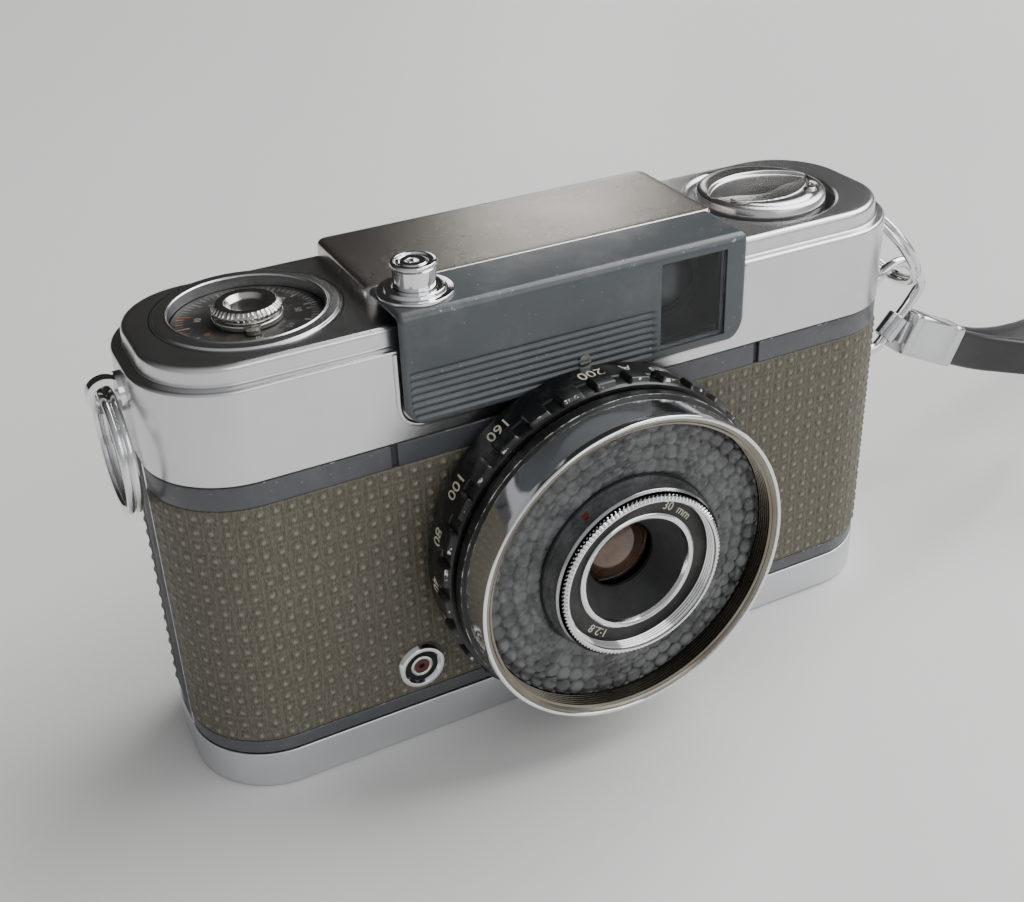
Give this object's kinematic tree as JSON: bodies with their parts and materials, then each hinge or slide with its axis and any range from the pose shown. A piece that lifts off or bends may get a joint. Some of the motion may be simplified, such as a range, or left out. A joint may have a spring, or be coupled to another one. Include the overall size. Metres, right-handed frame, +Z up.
{
  "type": "half frame camera",
  "caption": "Compact half-frame viewfinder film camera with fixed lens in a light-cell ring, slide-off back, rewind crank and short wrist strap.",
  "frame": {"origin": "centre of the tripod socket's mouth, in the middle of the flat base", "axes": "+Z up, -Y the way the lens looks, +X towards the rewind knob"},
  "size_m": [0.2505, 0.0601, 0.0726],
  "materials": {
    "satin_metal": "satin",
    "polished_metal": "polished",
    "grey_paint": "gloss",
    "leatherette": "embossed",
    "black_metal": "semi-gloss",
    "black_matte": "matte",
    "dial_black": "satin",
    "cast_frame": "cast",
    "steel": "brushed",
    "brass_socket": "plated",
    "window_glass": "clear",
    "lens_glass": "coated",
    "meter_plastic": "moulded",
    "cell": "dark",
    "insulator": "matte",
    "black_plastic": "matte",
    "strap_vinyl": "soft gloss"
  },
  "bodies": {
    "camera": {"chassis": "cast_frame", "front_shell": "grey_paint", "front_leatherette": "leatherette", "upper_trim_left": "grey_paint", "upper_trim_middle": "grey_paint", "upper_trim_right": "grey_paint", "lower_trim": "grey_paint", "top_cover": "satin_metal", "fascia": "grey_paint", "fascia_screw": "polished_metal", "viewfinder_glass": "window_glass", "viewfinder_tube": "black_matte", "viewfinder_eyepiece": "black_plastic", "counter_dial": "dial_black", "button_collar": "polished_metal", "film_gate": "steel", "lens_flange": "black_metal", "lens_barrel": "black_matte", "lens_collar": "black_metal", "front_bezel": "polished_metal", "meter_window": "meter_plastic", "selenium_cell": "cell", "inner_collar": "satin_metal", "rear_element": "lens_glass", "shutter_housing": "black_matte", "sync_ring": "polished_metal", "sync_insulator": "insulator", "lug_left": "polished_metal", "lug_right": "polished_metal"},
    "back": {"back_cover": "satin_metal", "back_leatherette": "leatherette", "tripod_socket": "brass_socket", "pressure_spring": "steel"},
    "plate": {"pressure_plate": "black_metal"},
    "key": {"lock_key": "satin_metal", "lock_plate": "steel"},
    "release": {"rewind_release": "polished_metal"},
    "exposure": {"exposure_ring": "black_metal"},
    "focus": {"focus_ring": "polished_metal", "name_ring": "dial_black", "lens_cone": "black_matte", "front_element": "lens_glass"},
    "blade_left": {"shutter_blade_left": "steel"},
    "blade_right": {"shutter_blade_right": "steel"},
    "button": {"shutter_button": "polished_metal"},
    "counter": {"counter_setter": "polished_metal"},
    "rewind_stem": {"rewind_shaft": "steel"},
    "rewind_head": {"rewind_knob": "satin_metal", "rewind_fork": "steel", "crank_pin": "steel"},
    "crank": {"rewind_crank": "satin_metal"},
    "wheel": {"advance_wheel": "satin_metal"},
    "sprocket": {"film_sprocket": "satin_metal"},
    "spool": {"take_up_spool": "black_plastic"},
    "left_ring": {"split_ring_left": "polished_metal"},
    "right_ring": {"split_ring_right": "polished_metal"},
    "link": {"strap_ring": "polished_metal"},
    "strap": {"strap_clamp": "polished_metal", "wrist_strap": "strap_vinyl"}
  },
  "joints": [
    {"name": "back_removal", "type": "slide", "parent": "camera", "child": "back", "axis": [0, 0, -1], "range_m": [0, 0.055]},
    {"name": "plate_press", "type": "slide", "parent": "back", "child": "plate", "axis": [0, 1, 0], "range_m": [0, 0.0008], "stiffness_N_per_m": 300, "springref_m": -0.001},
    {"name": "key_turn", "type": "hinge", "parent": "back", "child": "key", "pos_m": [-0.04, 0, 0.0005], "axis": [0, 0, 1], "range_deg": [0, 180]},
    {"name": "release_press", "type": "slide", "parent": "back", "child": "release", "axis": [0, 0, 1], "range_m": [0, 0.0009], "stiffness_N_per_m": 200, "springref_m": -0.001},
    {"name": "exposure_turn", "type": "hinge", "parent": "camera", "child": "exposure", "pos_m": [-0.0012, -0.02, 0.0306], "axis": [0, -1, 0], "range_deg": [-60, 60]},
    {"name": "focus_turn", "type": "hinge", "parent": "camera", "child": "focus", "pos_m": [-0.0012, -0.03, 0.0306], "axis": [0, -1, 0], "range_deg": [-45, 45]},
    {"name": "blade_left_swing", "type": "hinge", "parent": "camera", "child": "blade_left", "pos_m": [-0.0098, -0.019, 0.0346], "axis": [0, 1, 0], "range_deg": [0, 33]},
    {"name": "blade_right_swing", "type": "hinge", "parent": "camera", "child": "blade_right", "pos_m": [0.0074, -0.0198, 0.0346], "axis": [0, -1, 0], "range_deg": [0, 33]},
    {"name": "button_press", "type": "slide", "parent": "camera", "child": "button", "axis": [0, 0, -1], "range_m": [0, 0.0014], "stiffness_N_per_m": 300, "springref_m": -0.001},
    {"name": "counter_turn", "type": "hinge", "parent": "camera", "child": "counter", "pos_m": [-0.0403, 0.001, 0.065], "axis": [0, 0, 1], "continuous": true},
    {"name": "rewind_lift", "type": "slide", "parent": "camera", "child": "rewind_stem", "axis": [0, 0, 1], "range_m": [0, 0.005]},
    {"name": "rewind_turn", "type": "hinge", "parent": "rewind_stem", "child": "rewind_head", "pos_m": [0.0395, 0.0002, 0.06], "axis": [0, 0, 1], "continuous": true},
    {"name": "crank_fold", "type": "hinge", "parent": "rewind_head", "child": "crank", "pos_m": [0.03336, -0.00336, 0.0662], "axis": [0, -1, 0], "range_deg": [0, 50]},
    {"name": "wheel_turn", "type": "hinge", "parent": "camera", "child": "wheel", "pos_m": [-0.036, 0.0034, 0.054], "axis": [0, 0, 1], "continuous": true},
    {"name": "sprocket_turn", "type": "hinge", "parent": "camera", "child": "sprocket", "pos_m": [-0.0235, 0.0016, 0.027], "axis": [0, 0, 1], "continuous": true},
    {"name": "spool_turn", "type": "hinge", "parent": "camera", "child": "spool", "pos_m": [-0.042, 0.001, 0.027], "axis": [0, 0, 1], "continuous": true},
    {"name": "left_ring_swing", "type": "hinge", "parent": "camera", "child": "left_ring", "pos_m": [-0.0597, 0, 0.0592], "axis": [0, 1, 0], "range_deg": [0, 150]},
    {"name": "right_ring_swing", "type": "hinge", "parent": "camera", "child": "right_ring", "pos_m": [0.0597, 0, 0.0592], "axis": [0, -1, 0], "range_deg": [0, 60]},
    {"name": "link_swing", "type": "hinge", "parent": "right_ring", "child": "link", "pos_m": [0.06818, 0, 0.04563], "axis": [0, -1, 0], "range_deg": [0, 35]},
    {"name": "strap_swivel", "type": "hinge", "parent": "link", "child": "strap", "pos_m": [0.0686, 0, 0.0361], "axis": [0.6872, 0, 0.7265], "range_deg": [-20, 20]}
  ],
  "couplings": [
    {"joint": "blade_right_swing", "follows": "blade_left_swing", "ratio": 1},
    {"joint": "sprocket_turn", "follows": "wheel_turn", "ratio": -1.5},
    {"joint": "spool_turn", "follows": "wheel_turn", "ratio": -1.2},
    {"joint": "counter_turn", "follows": "wheel_turn", "ratio": 0.05}
  ]
}
